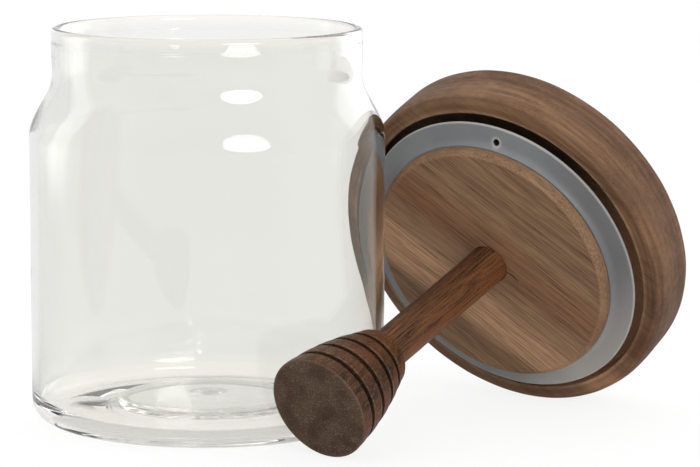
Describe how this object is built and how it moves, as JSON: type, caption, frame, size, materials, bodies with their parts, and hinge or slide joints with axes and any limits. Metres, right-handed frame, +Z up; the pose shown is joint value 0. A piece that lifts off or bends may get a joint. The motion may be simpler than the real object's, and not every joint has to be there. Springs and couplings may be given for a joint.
{
  "type": "glass honey jar",
  "caption": "Empty clear glass honey jar with a soft shoulder, its turned wooden lid with seal ring and honey dipper leaning beside it.",
  "frame": {"origin": "bottom centre of the whole set's box, level with the surface that the jar stands on", "axes": "+Z up along the jar's axis, +X from the jar to the leaning lid, the long way of the set; the front view looks along +Y"},
  "size_m": [0.185, 0.124, 0.1106],
  "materials": {
    "clear_glass": "clear blown glass, smooth, fire polished lip",
    "lid_wood": "turned mid brown hardwood with open grain, dry matt face",
    "silicone": "frosted grey silicone, matt",
    "dipper_wood": "oiled dark reddish hardwood, speckled end grain"
  },
  "bodies": {
    "root": {"glass_jar": "clear_glass", "wooden_lid": "lid_wood", "seal_ring": "silicone", "honey_dipper": "dipper_wood"}
  },
  "joints": []
}
